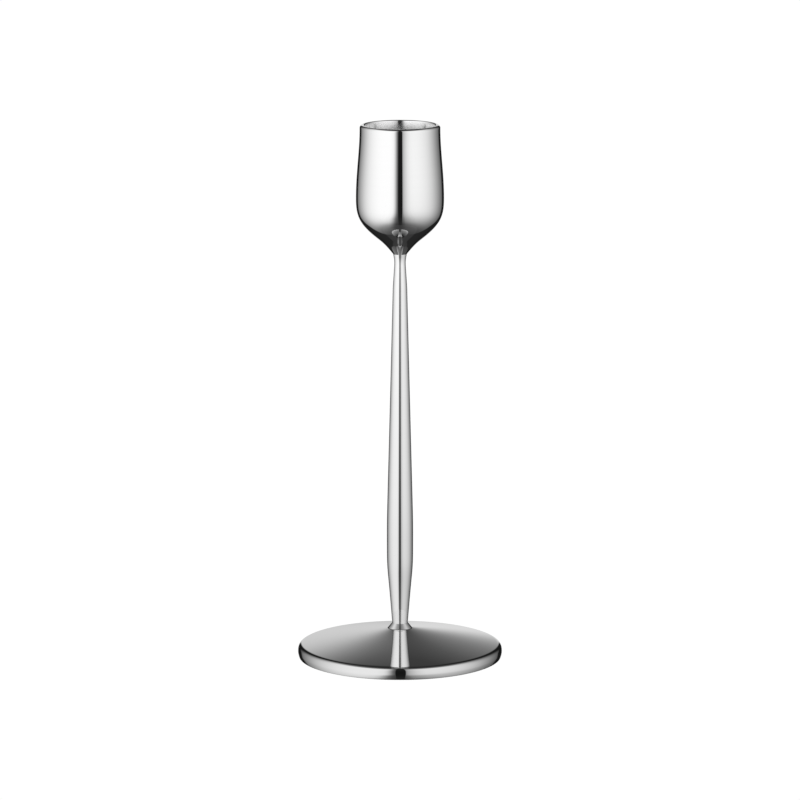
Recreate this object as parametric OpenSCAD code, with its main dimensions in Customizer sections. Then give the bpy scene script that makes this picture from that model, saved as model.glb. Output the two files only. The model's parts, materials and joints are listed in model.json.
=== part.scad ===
// Candlestick for one 22 mm taper candle: a tulip cup on a slender turned stem and a weighted disc foot.
// The stem has a threaded spigot at each end. The upper one screws into the tip of the cup. The lower one
// passes through the foot's boss and the ballast, and a flat washer, a spring washer and a thin nut hold
// them all together. A plate covers the ballast, and a stiff felt disc under it carries the candlestick.
// Origin: centre of the felt's underside, where the candlestick stands. +Z is up. Millimetres.

/* [Candle socket] */
// Diameter of the socket's wall, for a 22 mm candle with 0.2 mm clearance all round
socket_d = 22.4; // [22.2:0.1:22.6]
// Diameter of the socket's mouth, at the top of its lead-in
opening_d = 23; // [22.8:0.1:23.2]
// Height over which the socket widens from its wall to its mouth
lead_in_h = 3.2; // [2.5:0.1:3.5]
// Depth of the socket, rim to floor
socket_depth = 25; // [22:0.5:26]

/* [Cup] */
// Overall height of the candlestick
height = 176; // [172:1:180]
// Height of the cup, from its joint with the stem to the rim
cup_h = 42.1; // [41:0.1:43]
// Outside diameter just below the softened rim
mouth_d = 26.06; // [25.8:0.02:26.6]
// Outside diameter at the belly
belly_d = 28.52; // [28:0.02:29.2]
// Drop from the rim to the belly
belly_drop = 24; // [22:0.5:25]
// Diameter of the cup's tip, where it meets the stem
neck_d = 4.44; // [4.4:0.02:4.8]

/* [Stem] */
// Diameter at the waist, just under the cup
waist_d = 3.68; // [3.6:0.02:3.9]
// Drop from the cup joint to the waist
waist_drop = 3; // [2.5:0.1:3.5]
// Diameter at the swelling
swell_d = 8.58; // [8.2:0.02:9]
// Height of the swelling above the table
swell_z = 41; // [38:1:44]
// Diameter at the lower end, where the stem meets the foot's boss
ankle_d = 5.12; // [5:0.02:5.4]

/* [Foot] */
// Diameter of the foot
foot_d = 67; // [64:0.5:70]
// Height of the boss's top above the table
boss_z = 11.6; // [11:0.1:12.2]
// Height of the upright edge's upper end above the table
edge_z = 2.1; // [1.9:0.1:2.4]
// Width of the softened shoulder between the dome and the edge
shoulder_w = 1.9; // [1.5:0.1:2.4]
// Height of the softened shoulder
shoulder_h = 2.5; // [2.3:0.1:2.8]
// Wall thickness of the foot under the dome
foot_wall = 1.7; // [1.5:0.1:1.9]
// Width of the foot's rim around the recess
rim_w = 2.3; // [2:0.1:2.8]

/* [Underside] */
// Gap between the metal rim and the table, which keeps the metal off it
lift = 0.35; // [0.2:0.05:0.5]
// Thickness of the felt disc
felt_t = 1.2; // [1:0.1:1.4]
// Thickness of the closing plate
plate_t = 0.8; // [0.6:0.1:0.9]

/* [Threads] */
// Nominal diameter of the upper thread
top_thread_d = 3; // [3:0.1:3.2]
// Pitch of the upper thread
top_pitch = 0.5; // [0.5:0.05:0.6]
// Nominal diameter of the lower thread
foot_thread_d = 4; // [3.8:0.1:4]
// Pitch of the lower thread
foot_pitch = 0.7; // [0.6:0.05:0.7]

/* [Hidden] */
$fn = 96;

// Play left on the diameter: between a thread and its hole, around the plate, and around loose discs
thread_gap = 0.04;
plate_gap = 0.1;
slip_gap = 0.6;
// Small bevel on cut edges
bevel = 0.2;

// Curved outlines are lists of knots, in the order in which the outline runs:
// [point, lean of the outline there, handle before, handle after, number of chords after].
// A lean is measured in degrees from straight up towards +X. Handles shape the curve on each side of a knot.

// Cup, from the socket's floor up its wall and lead-in, over the rim, and down the bulging side, which turns
// hollow towards the neck
socket_r = socket_d / 2;
opening_r = opening_d / 2;
floor_z = height - socket_depth;
floor_fillet = 2.5;
lip_r = 0.45;
joint_z = height - cup_h;
rim_soft = 1;
neck = [neck_d / 2, joint_z];
cup_knots = [
    [[socket_r - floor_fillet, floor_z], 90, 0, 0.55 * floor_fillet, 8],
    [[socket_r, floor_z + floor_fillet], 0, 0.55 * floor_fillet, 0, 1],
    [[socket_r, height - lead_in_h], 3, 0, 0.9, 6],
    [[opening_r, height - lip_r], 10, 0.9, 0.55 * lip_r, 4],
    [[opening_r + lip_r, height], 90, 0.55 * lip_r, 0, 1],
    [[mouth_d / 2 - rim_soft, height], 90, 0, 0.55 * rim_soft, 8],
    [[mouth_d / 2, height - rim_soft], 180, 0.55 * rim_soft, 7.6, 20],
    [[belly_d / 2, height - belly_drop], 180, 8.4, 5.6, 22],
    [[7.45, joint_z + 5.3], 231.4, 7.4, 2.1, 12],
    [neck, 218.5, 4, 0, 0]];
top_spigot = 6.5;
top_hole_depth = 7.4;

// Stem, from its ankle up over the swelling, the slight flare and the waist to the cup's neck
ankle = [ankle_d / 2, boss_z];
stem_knots = [
    [ankle, 4.4, 0, 22, 30],
    [[swell_d / 2, swell_z], 0, 14.3, 8.8, 30],
    [[2.35, joint_z - 11.8], -1.4, 76, 2, 10],
    [[waist_d / 2, joint_z - waist_drop], 0, 1.2, 1.3, 8],
    [neck, 10, 0.8, 0, 0]];

// Foot, from the top of its conical boss out over the dome and the shoulder, then down the edge to the heel
foot_r = foot_d / 2;
foot_knots = [
    [ankle, 140.6, 0, 0.3, 2],
    [[3.75, boss_z - 1.45], 140.6, 0.3, 0.2, 6],
    [[4.15, boss_z - 1.78], 103.3, 0.2, 4, 16],
    [[foot_r - shoulder_w, edge_z + shoulder_h], 102.2, 12, 1.3, 16],
    [[foot_r, edge_z], 180, 1.9, 0.5, 8],
    [[foot_r - 0.45, lift], 270, 0.12, 0, 0]];
recess_r = foot_r - rim_w;
ledge_w = 0.7;
hub_r = 6;
hub_z = 7.6;

// Underside, from the table up: felt, closing plate, then the ballast with the nut and washers in its pocket
ballast_z = felt_t + plate_t;
pocket_r = 5.4;
pocket_z = 6.4;
washer_t = 0.8;
spring_t = 0.9;
nut_h = 2.2;
nut_af = 7;
washer_z = pocket_z - washer_t;
spring_z = washer_z - spring_t;
nut_z = spring_z - nut_h;
spigot_end_z = nut_z - bevel;

// The point at a distance from p, in a direction that leans from straight up towards +X
function pull(p, lean, distance) = p + distance * [sin(lean), cos(lean)];

// Points of a cubic Bezier curve from a to d with handles b and c, without its first point
function curve(a, b, c, d, n) =
    [for (i = [1:n]) let (t = i / n)
        pow(1 - t, 3) * a + 3 * t * pow(1 - t, 2) * b + 3 * t * t * (1 - t) * c + pow(t, 3) * d];

// Outline of thread ridges with crest radius r, one for each pitch from z0 up to z1
function ridges(r, pitch, z0, z1) =
    [for (i = [0:floor((z1 - z0) / pitch) - 1]) let (z = z0 + i * pitch, root = r - 0.54 * pitch)
        each [[r, z + 0.1 * pitch], [root, z + 0.4 * pitch],
              [root, z + 0.6 * pitch], [r, z + 0.9 * pitch]]];

// Outline through the given knots, with its first point
function outline(knots) =
    concat([knots[0][0]], [for (i = [0:len(knots) - 2])
        let (from = knots[i], to = knots[i + 1])
        each curve(from[0], pull(from[0], from[1], from[3]),
                   pull(to[0], to[1], -to[2]), to[0], from[4])]);

// The part of the dome that lies over the recess, lowered by a wall's thickness
function under_dome(drop) =
    [for (p = outline(foot_knots)) if (p[0] > hub_r && p[0] < recess_r - ledge_w - slip_gap) p - [0, drop]];

function reversed(list) = [for (i = [len(list) - 1:-1:0]) list[i]];

// A round disc standing on height z, with its lower edge bevelled
module disc(r, z, h) {
    rotate_extrude() polygon([[0, z], [r - bevel, z], [r, z + bevel], [r, z + h], [0, z + h]]);
}

module candle_cup() {
    hole_r = (top_thread_d + thread_gap) / 2;
    hole_end = joint_z + top_hole_depth;
    color("silver") rotate_extrude() polygon(concat(
        [[0, floor_z]],
        outline(cup_knots),
        [[hole_r, joint_z], [hole_r, hole_end], [0, hole_end + hole_r * tan(30)]]));
}

module stem() {
    top_r = (top_thread_d - thread_gap) / 2;
    low_r = (foot_thread_d - thread_gap) / 2;
    tip = 0.35;
    end_z = joint_z + top_spigot;
    color("silver") rotate_extrude() polygon(concat(
        [[0, spigot_end_z], [low_r - tip, spigot_end_z], [low_r, spigot_end_z + tip]],
        ridges(low_r, foot_pitch, spigot_end_z + tip, boss_z - foot_pitch),
        [[low_r, boss_z]],
        outline(stem_knots),
        [[top_r, joint_z]],
        ridges(top_r, top_pitch, joint_z + top_pitch, end_z - tip),
        [[top_r, end_z - tip], [top_r - tip, end_z], [0, end_z]]));
}

module foot() {
    hole_r = (foot_thread_d + thread_gap) / 2;
    ceiling = reversed(under_dome(foot_wall));
    ledge_r = recess_r - ledge_w;
    color("silver") rotate_extrude() polygon(concat(
        [[hole_r, boss_z]],
        outline(foot_knots),
        [[recess_r, lift], [recess_r, ballast_z], [ledge_r, ballast_z],
         [ledge_r, ceiling[0][1] - bevel]],
        ceiling,
        [[hub_r, hub_z], [hole_r, hub_z]]));
}

module ballast() {
    hole_r = (foot_thread_d + slip_gap) / 2;
    edge_r = recess_r - ledge_w - slip_gap / 2;
    top = under_dome(foot_wall + bevel);
    color("dimgray") rotate_extrude() polygon(concat(
        [[hole_r, pocket_z], [hole_r, hub_z], [hub_r - slip_gap, hub_z]],
        top,
        [[edge_r, top[len(top) - 1][1] - bevel], [edge_r, ballast_z + bevel], [edge_r - bevel, ballast_z],
         [pocket_r + bevel, ballast_z], [pocket_r, ballast_z + bevel], [pocket_r, pocket_z]]));
}

module flat_washer() {
    hole_r = 2.15;
    rim_r = 4.5;
    color("gainsboro") rotate_extrude() polygon([
        [hole_r, washer_z], [rim_r - bevel, washer_z], [rim_r, washer_z + bevel],
        [rim_r, pocket_z], [hole_r, pocket_z]]);
}

module spring_washer() {
    hole_r = 2.1;
    ring_w = 1.7;
    split_w = 0.5;
    color("darkgray") difference() {
        rotate_extrude() translate([hole_r, spring_z]) square([ring_w, spring_t]);
        translate([hole_r + ring_w / 2, 0, spring_z + spring_t / 2]) rotate([20, 0, 0])
            cube([2 * ring_w, split_w, 3 * spring_t], center = true);
    }
}

module lock_nut() {
    corner_r = nut_af / sqrt(3);
    chamfer = 0.35;
    flat_r = nut_af / 2 - 0.1;
    wide_r = flat_r + 2 * chamfer;
    color("gainsboro") difference() {
        intersection() {
            translate([0, 0, nut_z]) cylinder(h = nut_h, r = corner_r, $fn = 6);
            rotate_extrude() polygon([
                [0, nut_z], [flat_r, nut_z], [wide_r, nut_z + chamfer],
                [wide_r, spring_z - chamfer], [flat_r, spring_z], [0, spring_z]]);
        }
        translate([0, 0, nut_z - 1]) cylinder(h = nut_h + 2, d = foot_thread_d + thread_gap);
    }
}

module closing_plate() {
    color("slategray") disc(recess_r - plate_gap / 2, felt_t, plate_t);
}

module base_felt() {
    color("darkslategray") disc(recess_r - slip_gap / 2, 0, felt_t);
}

candle_cup();
stem();
foot();
ballast();
flat_washer();
spring_washer();
lock_nut();
closing_plate();
base_felt();
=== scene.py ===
"""Looks of the polished candlestick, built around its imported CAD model.

The cup, the stem and the foot are turned again here as fine lathe meshes on the CAD sizes, because a
mirror shows every facet, and the felt gets an uneven surface. The ballast, the closing plate and the
fasteners keep their CAD meshes. Sizes and outlines are in millimetres, and the scene is in metres.
The camera looks along +Y at the front of the candlestick.
"""
import json
import math

import bpy
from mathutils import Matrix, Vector, noise


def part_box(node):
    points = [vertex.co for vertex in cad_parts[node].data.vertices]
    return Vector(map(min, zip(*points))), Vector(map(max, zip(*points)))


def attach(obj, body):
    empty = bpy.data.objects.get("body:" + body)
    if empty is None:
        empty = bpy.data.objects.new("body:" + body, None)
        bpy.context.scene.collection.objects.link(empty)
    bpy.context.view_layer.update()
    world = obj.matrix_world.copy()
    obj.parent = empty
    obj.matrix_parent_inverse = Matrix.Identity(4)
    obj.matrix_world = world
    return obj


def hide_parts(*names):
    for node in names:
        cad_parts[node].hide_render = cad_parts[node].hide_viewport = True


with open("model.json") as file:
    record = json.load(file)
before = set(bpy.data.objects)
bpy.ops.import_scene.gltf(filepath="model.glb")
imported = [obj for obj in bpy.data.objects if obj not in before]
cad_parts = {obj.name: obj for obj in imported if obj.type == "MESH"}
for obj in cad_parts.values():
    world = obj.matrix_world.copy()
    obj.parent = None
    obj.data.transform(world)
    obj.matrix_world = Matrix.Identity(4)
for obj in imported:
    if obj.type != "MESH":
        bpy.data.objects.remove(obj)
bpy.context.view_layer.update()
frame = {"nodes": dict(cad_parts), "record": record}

MM = 0.001

# ---------------------------------------------------------------- sizes in millimetres


def box_mm(node):
    low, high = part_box(node)
    return low / MM, high / MM


cup_low, cup_high = box_mm("candle_cup")
stem_low, stem_high = box_mm("stem")
foot_low, foot_high = box_mm("foot")
_, felt_high = box_mm("base_felt")
_, plate_high = box_mm("closing_plate")
_, ballast_high = box_mm("ballast")
socket = next(m for m in frame["record"]["mounts"] if m["name"] == "candle_socket")

RIM_Z = cup_high.z
JOINT_Z = cup_low.z
BELLY_R = cup_high.x
SOCKET_R = socket["dims"]["r_mm"]
FLOOR_Z = RIM_Z - 25
FLOOR_FILLET = 2.5
LEAD_IN_H = 3.2
OPENING_R = 11.5
LIP_R = 0.45
MOUTH_R = 13.03
RIM_SOFT = 1
NECK = (2.22, JOINT_Z)
THREAD_PLAY = 0.04
TOP_HOLE_DEPTH = 7.4
TOP_THREAD_R, TOP_PITCH = 1.48, 0.5
LOW_THREAD_R, LOW_PITCH = 1.98, 0.7
SPIGOT_TIP = 0.35

BOSS_Z = foot_high.z
ANKLE = (2.56, BOSS_Z)
FOOT_R = foot_high.x
LIFT_Z = foot_low.z
EDGE_Z = 2.1
SHOULDER_W = 1.9
SHOULDER_H = 2.5
HEEL = 0.45
FOOT_WALL = 1.7
RECESS_R = plate_high.x + 0.05
LEDGE_R = RECESS_R - 0.7
LEDGE_Z = plate_high.z
HUB_R = 6
HUB_Z = ballast_high.z

# ---------------------------------------------------------------- outlines
# An outline is a list of knots, in the order in which it runs:
# (point, lean of the outline there, handle before, handle after, number of chords after).
# A lean is measured in degrees from straight up towards +X.
ROUND = 0.55
CUP_KNOTS = [
    ((SOCKET_R - FLOOR_FILLET, FLOOR_Z), 90, 0, ROUND * FLOOR_FILLET, 16),
    ((SOCKET_R, FLOOR_Z + FLOOR_FILLET), 0, ROUND * FLOOR_FILLET, 0, 12),
    ((SOCKET_R, RIM_Z - LEAD_IN_H), 3, 0, 0.9, 16),
    ((OPENING_R, RIM_Z - LIP_R), 10, 0.9, ROUND * LIP_R, 8),
    ((OPENING_R + LIP_R, RIM_Z), 90, ROUND * LIP_R, 0, 1),
    ((MOUTH_R - RIM_SOFT, RIM_Z), 90, 0, ROUND * RIM_SOFT, 14),
    ((MOUTH_R, RIM_Z - RIM_SOFT), 180, ROUND * RIM_SOFT, 7.6, 48),
    ((BELLY_R, RIM_Z - 24), 180, 8.4, 5.6, 60),
    ((7.45, JOINT_Z + 5.3), 231.4, 7.4, 2.1, 30),
    (NECK, 218.5, 4, 0, 0),
]
STEM_KNOTS = [
    (ANKLE, 4.4, 0, 22, 60),
    ((stem_high.x, 41), 0, 14.3, 8.8, 80),
    ((2.35, JOINT_Z - 11.8), -1.4, 76, 2, 24),
    ((1.84, JOINT_Z - 3), 0, 1.2, 1.3, 24),
    (NECK, 10, 0.8, 0, 0),
]
FOOT_KNOTS = [
    (ANKLE, 140.6, 0, 0.3, 6),
    ((3.75, BOSS_Z - 1.45), 140.6, 0.3, 0.2, 16),
    ((4.15, BOSS_Z - 1.78), 103.3, 0.2, 4, 48),
    ((FOOT_R - SHOULDER_W, EDGE_Z + SHOULDER_H), 102.2, 12, 1.3, 48),
    ((FOOT_R, EDGE_Z), 180, 1.9, 0.5, 20),
    ((FOOT_R - HEEL, LIFT_Z), 270, 0.12, 0, 0),
]


def pull(p, lean, distance):
    """The point at a distance from p, in a direction that leans from straight up towards +X."""
    a = math.radians(lean)
    return p + distance * Vector((math.sin(a), math.cos(a)))


def curve(a, b, c, d, n):
    """Points of a cubic Bezier curve from a to d with handles b and c, without its first point."""
    points = []
    for i in range(1, n + 1):
        t = i / n
        s = 1 - t
        points.append(s ** 3 * a + 3 * t * s ** 2 * b + 3 * t * t * s * c + t ** 3 * d)
    return points


def outline(knots):
    """The outline through the knots, with its first point."""
    points = [Vector(knots[0][0])]
    for (start, lean, _, after, chords), (end, end_lean, before, _, _) in zip(knots, knots[1:]):
        start, end = Vector(start), Vector(end)
        points += curve(start, pull(start, lean, after), pull(end, end_lean, -before), end, chords)
    return points


def straight(start, end, step):
    """Points every step along a straight line, with both its ends."""
    start, end = Vector(start), Vector(end)
    n = round((end - start).length / step)
    return [start.lerp(end, i / n) for i in range(n + 1)]


def cup_outline():
    hole_r = TOP_THREAD_R + THREAD_PLAY
    hole_end = JOINT_Z + TOP_HOLE_DEPTH
    drill_lean = 30
    drill_tip = hole_r * math.tan(math.radians(drill_lean))
    hole = [(hole_r, JOINT_Z), (hole_r, hole_end), (0, hole_end + drill_tip)]
    return [(0, FLOOR_Z), *outline(CUP_KNOTS), *hole]


def stem_outline():
    steps_per_pitch = 8
    bottom, top = stem_low.z, stem_high.z
    return [
        (0, bottom), (LOW_THREAD_R - SPIGOT_TIP, bottom),
        *straight((LOW_THREAD_R, bottom + SPIGOT_TIP), (LOW_THREAD_R, BOSS_Z), LOW_PITCH / steps_per_pitch),
        *outline(STEM_KNOTS),
        *straight((TOP_THREAD_R, JOINT_Z), (TOP_THREAD_R, top - SPIGOT_TIP), TOP_PITCH / steps_per_pitch),
        (TOP_THREAD_R - SPIGOT_TIP, top), (0, top),
    ]


def foot_outline():
    """The foot's whole section: over the top, then back through the recess and under the dome."""
    hole_r = LOW_THREAD_R + THREAD_PLAY
    gap, bevel = 0.6, 0.2
    top = outline(FOOT_KNOTS)
    ceiling = [p - Vector((0, FOOT_WALL)) for p in top if HUB_R < p.x < LEDGE_R - gap]
    ceiling.reverse()
    return [
        (hole_r, BOSS_Z), *top, (RECESS_R, LIFT_Z), (RECESS_R, LEDGE_Z), (LEDGE_R, LEDGE_Z),
        (LEDGE_R, ceiling[0].y - bevel), *ceiling, (HUB_R, HUB_Z), (hole_r, HUB_Z), (hole_r, BOSS_Z),
    ]


def felt_outline():
    """The felt's section, with points close enough together for its uneven surface."""
    r, top = felt_high.x, felt_high.z
    bevel, edge_step, face_step = 0.2, 0.1, 0.4
    edge = straight((r, top), (r, bevel), edge_step)[1:]
    underside = straight((r - bevel, 0), (0, 0), face_step)
    return [(0, top), (r, top), *edge, *underside]


# ---------------------------------------------------------------- meshes
def lathe(name, points, segments, cut=None):
    """Spins an outline in millimetres about Z. A point on the axis becomes one vertex.

    The optional cut(radius, height, angle) says how far the surface lies inside the outline there.
    """
    on_axis, sharp_angle = 1e-6, 25
    vertices, rings = [], []
    for r, z in points:
        first = len(vertices)
        if r < on_axis:
            vertices.append((0, 0, z * MM))
            rings.append([first] * segments)
            continue
        for k in range(segments):
            angle = 2 * math.pi * k / segments
            reach = (r - cut(r, z, angle) if cut else r) * MM
            vertices.append((reach * math.cos(angle), reach * math.sin(angle), z * MM))
        rings.append(list(range(first, first + segments)))
    faces = []
    for low, high in zip(rings, rings[1:]):
        for k in range(segments):
            n = (k + 1) % segments
            loop = [low[k], low[n], high[n], high[k]]
            face = [v for i, v in enumerate(loop) if v != loop[i - 1]]
            if len(face) > 2:
                faces.append(face)
    mesh = bpy.data.meshes.new(name)
    mesh.from_pydata(vertices, [], faces)
    mesh.validate()
    mesh.shade_smooth()
    mesh.set_sharp_from_angle(angle=math.radians(sharp_angle))
    piece = bpy.data.objects.new(name, mesh)
    bpy.context.scene.collection.objects.link(piece)
    return piece


def thread_cut(r, z, angle):
    """Depth of the stem's helical threads under their crests. It is zero away from the two spigots."""
    # Shares of one pitch
    half_valley, flank, depth = 0.4, 0.3, 0.54
    on_thread = 1e-4
    for thread_r, pitch, low, high in (
        (LOW_THREAD_R, LOW_PITCH, stem_low.z + SPIGOT_TIP, BOSS_Z),
        (TOP_THREAD_R, TOP_PITCH, JOINT_Z, stem_high.z - SPIGOT_TIP),
    ):
        if abs(r - thread_r) < on_thread and low < z < high:
            phase = (z / pitch - angle / (2 * math.pi)) % 1
            valley = min(1, max(0, (half_valley - abs(phase - 0.5)) / flank))
            fade = min(1, (z - low) / pitch, (high - z) / pitch)
            return depth * pitch * valley * fade
    return 0


def roughen_felt(piece):
    """Presses the felt's edge and underside in by up to a tenth of a millimetre."""
    depth, lump_size = 0.1 * MM, 1.5 * MM
    for vertex in piece.data.vertices:
        lump = 0.5 + 0.5 * noise.noise(vertex.co / lump_size)
        if vertex.co.z < depth:
            vertex.co.z += depth * lump
        elif vertex.co.z < felt_high.z * MM - depth:
            vertex.co.xy *= 1 - depth * lump / (felt_high.x * MM)


# ---------------------------------------------------------------- shader nodes
def new_material(name):
    material = bpy.data.materials.new(name)
    material.use_nodes = True
    tree = material.node_tree
    return material, tree, tree.nodes["Principled BSDF"]


def maths(tree, operation, *values):
    node = tree.nodes.new("ShaderNodeMath")
    node.operation = operation
    for socket_in, value in zip(node.inputs, values):
        if isinstance(value, (int, float)):
            socket_in.default_value = value
        else:
            tree.links.new(value, socket_in)
    return node.outputs[0]


def product(tree, first, *rest):
    for value in rest:
        first = maths(tree, "MULTIPLY", first, value)
    return first


def weighted(tree, first, share, second):
    """The sum of a share of the first value and the rest of the second."""
    return maths(tree, "ADD", maths(tree, "MULTIPLY", first, share),
                 maths(tree, "MULTIPLY", second, 1 - share))


def either(tree, choice, zero, one):
    """The value zero where choice is 0, and one where it is 1."""
    node = tree.nodes.new("ShaderNodeMix")
    tree.links.new(choice, node.inputs["Factor"])
    tree.links.new(zero, node.inputs["A"])
    tree.links.new(one, node.inputs["B"])
    return node.outputs["Result"]


def ramp(tree, value, stops, smooth=True):
    """A brightness by (value, brightness) stops. It keeps the end brightness beyond them."""
    node = tree.nodes.new("ShaderNodeValToRGB")
    node.color_ramp.interpolation = "B_SPLINE" if smooth else "LINEAR"
    elements = node.color_ramp.elements
    while len(elements) < len(stops):
        elements.new(0.5)
    first, last = stops[0][0], stops[-1][0]
    for element, (place, level) in zip(elements, stops):
        element.position = (place - first) / (last - first)
        element.color = (level, level, level, 1)
    share = maths(tree, "DIVIDE", maths(tree, "SUBTRACT", value, first), last - first)
    tree.links.new(share, node.inputs["Fac"])
    return node.outputs["Color"]


def place_on(tree, kind):
    """A point's place on its object ("Object"), or the direction in the world ("Generated")."""
    return tree.nodes.new("ShaderNodeTexCoord").outputs[kind]


def xyz(tree, vector):
    split = tree.nodes.new("ShaderNodeSeparateXYZ")
    tree.links.new(vector, split.inputs[0])
    return split.outputs


def noise_of(tree, vector, scale, detail):
    node = tree.nodes.new("ShaderNodeTexNoise")
    node.inputs["Scale"].default_value = scale
    node.inputs["Detail"].default_value = detail
    tree.links.new(vector, node.inputs["Vector"])
    return node.outputs["Fac"]


def grain(tree, scale, detail, stretch=(1, 1, 1)):
    """Noise that is fixed to the object, 0..1. A low number in stretch draws it out along that axis."""
    mapping = tree.nodes.new("ShaderNodeMapping")
    mapping.inputs["Scale"].default_value = stretch
    tree.links.new(place_on(tree, "Object"), mapping.inputs["Vector"])
    return noise_of(tree, mapping.outputs["Vector"], scale, detail)


def turning_marks(tree, scale, detail):
    """Noise that changes with the radius and the height but hardly around the axis, 0..1."""
    change_around = 0.03
    x, y, z = xyz(tree, place_on(tree, "Object"))
    squares = [maths(tree, "MULTIPLY", axis, axis) for axis in (x, y)]
    radius = maths(tree, "SQRT", maths(tree, "ADD", *squares))
    join = tree.nodes.new("ShaderNodeCombineXYZ")
    for part, value in zip(join.inputs, (radius, maths(tree, "MULTIPLY", x, change_around), z)):
        tree.links.new(value, part)
    return noise_of(tree, join.outputs[0], scale, detail)


def pits(tree, scale):
    """Small round pits, 0 at their centres and 1 between them."""
    steepness = 2.5
    cells = tree.nodes.new("ShaderNodeTexVoronoi")
    cells.inputs["Scale"].default_value = scale
    tree.links.new(place_on(tree, "Object"), cells.inputs["Vector"])
    return maths(tree, "MINIMUM", maths(tree, "MULTIPLY", cells.outputs["Distance"], steepness), 1)


# ---------------------------------------------------------------- materials
def surface(name, metallic, marks, colours, roughness, relief_mm=0):
    """A material whose colour, roughness and relief all follow the same marks.

    marks(tree) builds a value of 0..1. The pairs colours and roughness hold what belongs to 0 and to 1,
    and relief_mm is the height from 0 to 1.
    """
    material, tree, shader = new_material(name)
    shader.inputs["Metallic"].default_value = metallic
    value = marks(tree)
    tint = tree.nodes.new("ShaderNodeMix")
    tint.data_type = "RGBA"
    for end, colour in zip("AB", colours):
        tint.inputs[end].default_value = (*colour, 1)
    tree.links.new(value, tint.inputs["Factor"])
    tree.links.new(tint.outputs["Result"], shader.inputs["Base Color"])
    shine = tree.nodes.new("ShaderNodeMapRange")
    for end, level in zip(("To Min", "To Max"), roughness):
        shine.inputs[end].default_value = level
    tree.links.new(value, shine.inputs["Value"])
    tree.links.new(shine.outputs["Result"], shader.inputs["Roughness"])
    if relief_mm:
        bump = tree.nodes.new("ShaderNodeBump")
        bump.inputs["Distance"].default_value = relief_mm * MM
        tree.links.new(value, bump.inputs["Height"])
        tree.links.new(bump.outputs["Normal"], shader.inputs["Normal"])
    return material, tree, shader


SILVER = ((0.89, 0.89, 0.89), (0.91, 0.91, 0.91))


def polished_metal():
    """Mirror-polished metal with very faint polishing marks."""
    def marks(tree):
        return turning_marks(tree, 900, 5)
    return surface("polished_metal", 1, marks, SILVER, (0.005, 0.03))[0]


def turned_metal():
    """The socket's finish: fine marks left by the lathe, which blur reflections only up and down."""
    def marks(tree):
        return turning_marks(tree, 2500, 3)
    material, tree, shader = surface("turned_metal", 1, marks, SILVER, (0.14, 0.2))
    shader.inputs["Anisotropic"].default_value = 1
    shader.inputs["Anisotropic Rotation"].default_value = 0.25
    around = tree.nodes.new("ShaderNodeTangent")
    around.direction_type = "RADIAL"
    around.axis = "Z"
    tree.links.new(around.outputs["Tangent"], shader.inputs["Tangent"])
    return material


def cast_weight():
    """Dark cast iron with grain and pits."""
    def marks(tree):
        return maths(tree, "MULTIPLY", grain(tree, 700, 8), pits(tree, 900))
    colours = ((0.03, 0.03, 0.033), (0.13, 0.13, 0.135))
    return surface("cast_weight", 0.85, marks, colours, (0.75, 0.5), 0.12)[0]


def fastener_steel():
    """Bright steel with stains and fine turning marks."""
    def marks(tree):
        return weighted(tree, grain(tree, 250, 2), 0.6, turning_marks(tree, 4000, 3))
    colours = ((0.42, 0.44, 0.48), (0.68, 0.67, 0.64))
    return surface("fastener_steel", 1, marks, colours, (0.42, 0.22), 0.006)[0]


def plate_steel():
    """Blackened sheet with blotches and the marks of rolling along Y."""
    def marks(tree):
        return weighted(tree, grain(tree, 90, 6), 0.7, grain(tree, 2500, 2, (1, 0.04, 1)))
    colours = ((0.018, 0.019, 0.022), (0.07, 0.068, 0.066))
    return surface("plate_steel", 1, marks, colours, (0.32, 0.55), 0.004)[0]


def felt():
    """Pressed felt: fibres that lie in two directions, with a soft sheen."""
    def marks(tree):
        across = grain(tree, 1500, 4, (1, 0.15, 1))
        along = grain(tree, 1500, 4, (0.15, 1, 1))
        return maths(tree, "MULTIPLY", maths(tree, "ADD", across, along), 0.5)
    colours = ((0.006, 0.006, 0.007), (0.05, 0.05, 0.055))
    material, _, shader = surface("felt", 0, marks, colours, (0.98, 0.85), 0.25)
    shader.inputs["Sheen Weight"].default_value = 0.35
    shader.inputs["Sheen Roughness"].default_value = 0.6
    return material


# ---------------------------------------------------------------- studio
# The studio, as brightness by direction. "Side" is 0 towards the camera and positive to its right, "rise"
# is positive above the horizon, both in degrees. The panels are two tall light walls that leave a dark slot
# for the camera and end behind in dark cards, with a narrow view of the bright backdrop between the cards.
# The room is what is left: a dim table below and darkness above it.
STUDIO_LEVEL = 1.03
PANEL_LEVEL = 1.16
PANELS_BY_SIDE = [
    (-158, 0), (-152, 0.03), (-145, 0.12), (-138, 0.24), (-127, 0.35), (-112, 0.56), (-97, 0.76),
    (-82, 0.89), (-67, 0.96), (-52, 1), (-1, 1), (1, 0.91), (45, 0.91), (60, 0.87), (75, 0.79), (90, 0.66),
    (105, 0.47), (120, 0.29), (132, 0.18), (140, 0.13), (148, 0.05), (154, 0.01), (158, 0)]
PANEL_NARROWNESS_BY_RISE = [(-90, 1.18), (-60, 1.13), (-50, 1.09), (-30, 1), (0, 1)]
PANEL_ENDS_BY_SIDE = [(-147, 0), (-143, 1), (141, 1), (145, 0)]
PANEL_ENDS_NARROWNESS_BY_RISE = [(-90, 1.065), (-38, 1.065), (-20, 1), (-3, 1), (8, 0.93), (90, 0.93)]
SLOT_CORE_BY_SIDE = [(-5.3, 1), (-4.7, 0), (6.2, 0), (6.9, 1)]
SLOT_BY_SIDE = [
    (-26, 1), (-18, 0.92), (-14.5, 0.76), (-11, 0.46), (-8, 0.19), (-5.3, 0.08), (-2, 0.03), (0, 0),
    (3, 0.08), (4.5, 0.2), (6.9, 0.33), (9, 0.50), (13, 0.65), (20, 0.85), (28, 0.97), (37, 1)]
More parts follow.
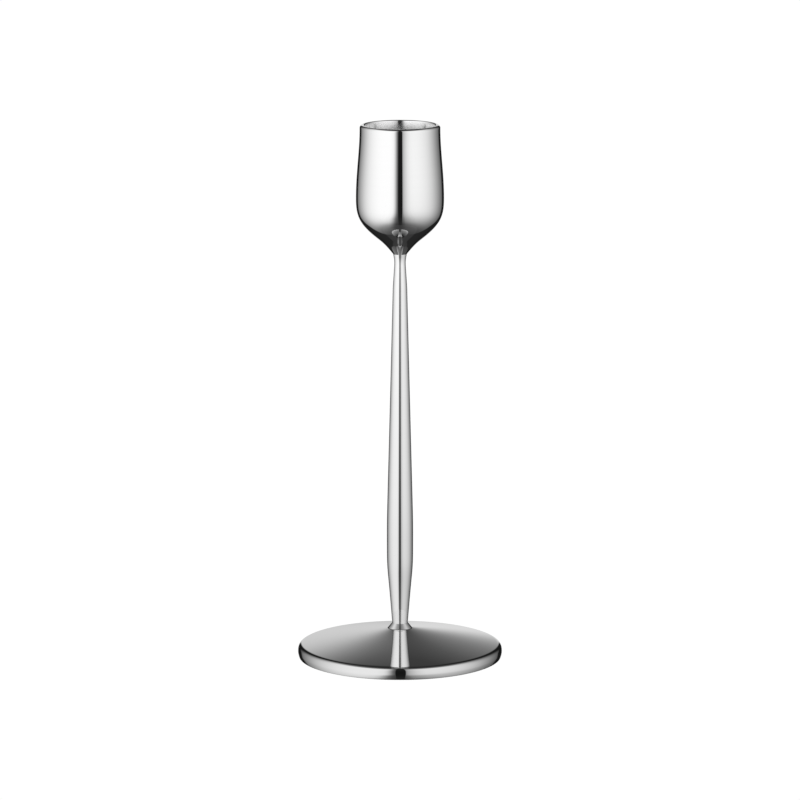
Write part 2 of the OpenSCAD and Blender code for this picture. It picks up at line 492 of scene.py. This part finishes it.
SLOT_NARROWNESS_BY_RISE = [
    (-72, 0.22), (-66, 0.30), (-58, 0.37), (-48, 0.46), (-35, 0.575), (-28, 0.70), (-20, 0.86), (-10, 1),
    (0, 1)]
LEFT_PANEL_BY_RISE = [
    (-90, 0.04), (-78, 0.07), (-72, 0.13), (-66, 0.21), (-60, 0.32), (-54, 0.52), (-48, 0.71), (-42, 0.83),
    (-36, 0.91), (-30, 0.96), (-20, 1), (0, 1)]
RIGHT_PANEL_BY_RISE = [
    (-90, 0.03), (-78, 0.05), (-66, 0.11), (-60, 0.18), (-54, 0.28), (-48, 0.42), (-42, 0.53), (-36, 0.63),
    (-30, 0.73), (-25, 0.82), (-20, 0.88), (-15, 0.93), (-5, 1), (0, 1)]
PANEL_TOPS_BY_RISE = [(45, 1), (55, 0.5), (60, 0.30), (66, 0.16), (78, 0.03), (90, 0)]
BACKDROP_BY_SIDE = [(168, 0), (171, 1), (180, 1)]
BACKDROP_LEFT_BY_RISE = [
    (-24, 0), (-12, 0.68), (0, 0.80), (10, 0.75), (15, 0.70), (20, 0.59), (25, 0.42), (30, 0.23),
    (35, 0.095), (42, 0.018), (60, 0)]
BACKDROP_RIGHT_BY_RISE = [
    (-24, 0), (-12, 0.80), (0, 0.92), (5, 0.75), (10, 0.50), (15, 0.33), (20, 0.225), (25, 0.16),
    (30, 0.095), (36, 0.035), (60, 0)]
ROOM_BY_RISE = [
    (-90, 0.062), (-78, 0.057), (-63, 0.048), (-61, 0.024), (-45, 0.02), (-30, 0.013), (0, 0.01),
    (30, 0.013), (60, 0.02), (90, 0.02)]
# Panels that stand close by look dimmer from the lower parts. A sleeve of grey glass paints some of that
# shade into the metal's reflections, darker towards the bottom: how clear it is, by height in metres.
SLEEVE_R_MM = 60
SLEEVE_CLEARNESS_BY_Z = [
    (-1, 0.8), (0.01, 0.8), (0.026, 0.815), (0.039, 0.835), (0.05, 0.86), (0.0745, 0.89), (0.0915, 0.92),
    (0.115, 0.96), (0.135, 1)]
# Just over 1, so that the backdrop stays pure white
WHITE = (1.02, 1.02, 1.02, 1)


def studio_world():
    """White for the camera, and the studio above for everything that the metal reflects."""
    world = bpy.data.worlds.new("studio")
    bpy.context.scene.world = world
    world.use_nodes = True
    tree = world.node_tree
    tree.nodes.clear()
    x, y, z = xyz(tree, place_on(tree, "Generated"))
    side = maths(tree, "DEGREES", maths(tree, "ARCTAN2", x, maths(tree, "MULTIPLY", y, -1)))
    rise = maths(tree, "DEGREES", maths(tree, "ARCSINE", z))
    on_right = maths(tree, "GREATER_THAN", side, 0)
    panel_side = product(tree, side, ramp(tree, rise, PANEL_NARROWNESS_BY_RISE))
    end_side = product(tree, side, ramp(tree, rise, PANEL_ENDS_NARROWNESS_BY_RISE, smooth=False))
    slot_side = product(tree, side, ramp(tree, rise, SLOT_NARROWNESS_BY_RISE))
    left_panel = ramp(tree, rise, LEFT_PANEL_BY_RISE)
    right_panel = ramp(tree, rise, RIGHT_PANEL_BY_RISE)
    panels = product(
        tree, PANEL_LEVEL, ramp(tree, panel_side, PANELS_BY_SIDE),
        ramp(tree, end_side, PANEL_ENDS_BY_SIDE, smooth=False),
        ramp(tree, slot_side, SLOT_BY_SIDE, smooth=False),
        ramp(tree, side, SLOT_CORE_BY_SIDE, smooth=False),
        either(tree, on_right, left_panel, right_panel), ramp(tree, rise, PANEL_TOPS_BY_RISE))
    behind = ramp(tree, maths(tree, "ABSOLUTE", side), BACKDROP_BY_SIDE, smooth=False)
    left_backdrop = ramp(tree, rise, BACKDROP_LEFT_BY_RISE)
    right_backdrop = ramp(tree, rise, BACKDROP_RIGHT_BY_RISE)
    backdrop = product(tree, behind, either(tree, on_right, left_backdrop, right_backdrop))
    room = ramp(tree, rise, ROOM_BY_RISE, smooth=False)
    studio = tree.nodes.new("ShaderNodeBackground")
    studio.inputs["Strength"].default_value = STUDIO_LEVEL
    tree.links.new(maths(tree, "ADD", maths(tree, "ADD", panels, backdrop), room), studio.inputs["Color"])
    white = tree.nodes.new("ShaderNodeBackground")
    white.inputs["Color"].default_value = WHITE
    path = tree.nodes.new("ShaderNodeLightPath")
    mix = tree.nodes.new("ShaderNodeMixShader")
    tree.links.new(path.outputs["Is Camera Ray"], mix.inputs["Fac"])
    tree.links.new(studio.outputs[0], mix.inputs[1])
    tree.links.new(white.outputs[0], mix.inputs[2])
    out = tree.nodes.new("ShaderNodeOutputWorld")
    tree.links.new(mix.outputs[0], out.inputs["Surface"])


def dress(piece, material, shader_node):
    """Gives a piece a material whose whole surface is one shader node."""
    tree = material.node_tree
    tree.links.new(shader_node.outputs[0], tree.nodes["Material Output"].inputs["Surface"])
    piece.data.materials.append(material)


def pale_floor():
    """A floor as pale as the backdrop, which takes no shadow, like the one in a cut-out studio shot."""
    r = 4
    mesh = bpy.data.meshes.new("floor")
    mesh.from_pydata([(-r, -r, 0), (r, -r, 0), (r, r, 0), (-r, r, 0)], [], [(0, 1, 2, 3)])
    floor = bpy.data.objects.new("floor", mesh)
    bpy.context.scene.collection.objects.link(floor)
    material, tree, _ = new_material("pale_floor")
    white = tree.nodes.new("ShaderNodeEmission")
    white.inputs["Color"].default_value = WHITE
    dress(floor, material, white)
    floor.visible_glossy = False


def reflection_shade_sleeve():
    """A sleeve of grey glass that only the metal sees, which paints shade into its reflections."""
    bottom, top = SLEEVE_CLEARNESS_BY_Z[0][0] / MM, SLEEVE_CLEARNESS_BY_Z[-1][0] / MM
    sleeve = lathe("reflection_shade_sleeve", [(SLEEVE_R_MM, bottom), (SLEEVE_R_MM, top)], segments=256)
    material, tree, _ = new_material("reflection_shade_filter")
    height = xyz(tree, place_on(tree, "Object"))[2]
    glass = tree.nodes.new("ShaderNodeBsdfTransparent")
    # Painted shade: the glass is least clear low down, so the metal's lower parts mirror a dimmer studio.
    tree.links.new(ramp(tree, height, SLEEVE_CLEARNESS_BY_Z, smooth=False), glass.inputs["Color"])
    dress(sleeve, material, glass)
    sleeve.visible_camera = False
    sleeve.visible_diffuse = False
    sleeve.visible_shadow = False


def overhead_light():
    """A soft light from above for the pieces that aren't mirrors."""
    data = bpy.data.lights.new("overhead", "AREA")
    data.shape = "DISK"
    data.size = 2.5
    data.energy = 75
    lamp = bpy.data.objects.new("overhead", data)
    lamp.location = (0, 0, 1.8)
    lamp.visible_glossy = False
    lamp.visible_camera = False
    bpy.context.scene.collection.objects.link(lamp)


def camera():
    """A long lens that looks slightly down at the middle of the candlestick."""
    elevation, distance, target = math.radians(10.694), 1.5548, Vector((0, 0, 0.08581))
    data = bpy.data.cameras.new("camera")
    data.sensor_width = 36
    data.lens = 215.06
    data.clip_end = 20
    cam = bpy.data.objects.new("camera", data)
    back = Vector((0, -math.cos(elevation), math.sin(elevation)))
    cam.location = target + back * distance
    cam.rotation_mode = "QUATERNION"
    cam.rotation_quaternion = (-back).to_track_quat("-Z", "Y")
    bpy.context.scene.collection.objects.link(cam)
    bpy.context.scene.camera = cam


# ---------------------------------------------------------------- the candlestick
def stand_in(piece, node, slot, *materials):
    """Puts a finer mesh in the place of a CAD node."""
    for material in materials:
        piece.data.materials.append(material)
    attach(piece, "root")
    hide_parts(node)


def finish_socket(cup):
    """Gives the socket's wall and floor the cup's second material."""
    below_floor = FLOOR_Z - 1
    for face in cup.data.polygons:
        in_socket = math.hypot(*face.center.xy) < OPENING_R * MM and face.center.z > below_floor * MM
        face.material_index = 1 if in_socket else 0


def build():
    metal = polished_metal()
    cup = lathe("candle_cup_turned", cup_outline(), segments=384)
    stand_in(cup, "candle_cup", "polished_metal", metal, turned_metal())
    finish_socket(cup)
    stem = lathe("stem_turned", stem_outline(), segments=128, cut=thread_cut)
    stand_in(stem, "stem", "polished_metal", metal)
    foot = lathe("foot_turned", foot_outline(), segments=256)
    stand_in(foot, "foot", "polished_metal", metal)
    disc = lathe("base_felt_pressed", felt_outline(), segments=192)
    roughen_felt(disc)
    stand_in(disc, "base_felt", "felt", felt())
    steel = fastener_steel()
    for node, material in (
        ("ballast", cast_weight()), ("closing_plate", plate_steel()),
        ("flat_washer", steel), ("spring_washer", steel), ("lock_nut", steel),
    ):
        mesh = frame["nodes"][node].data
        mesh.materials.clear()
        mesh.materials.append(material)


bpy.context.scene.view_settings.view_transform = "Standard"
build()
studio_world()
pale_floor()
reflection_shade_sleeve()
overhead_light()
camera()
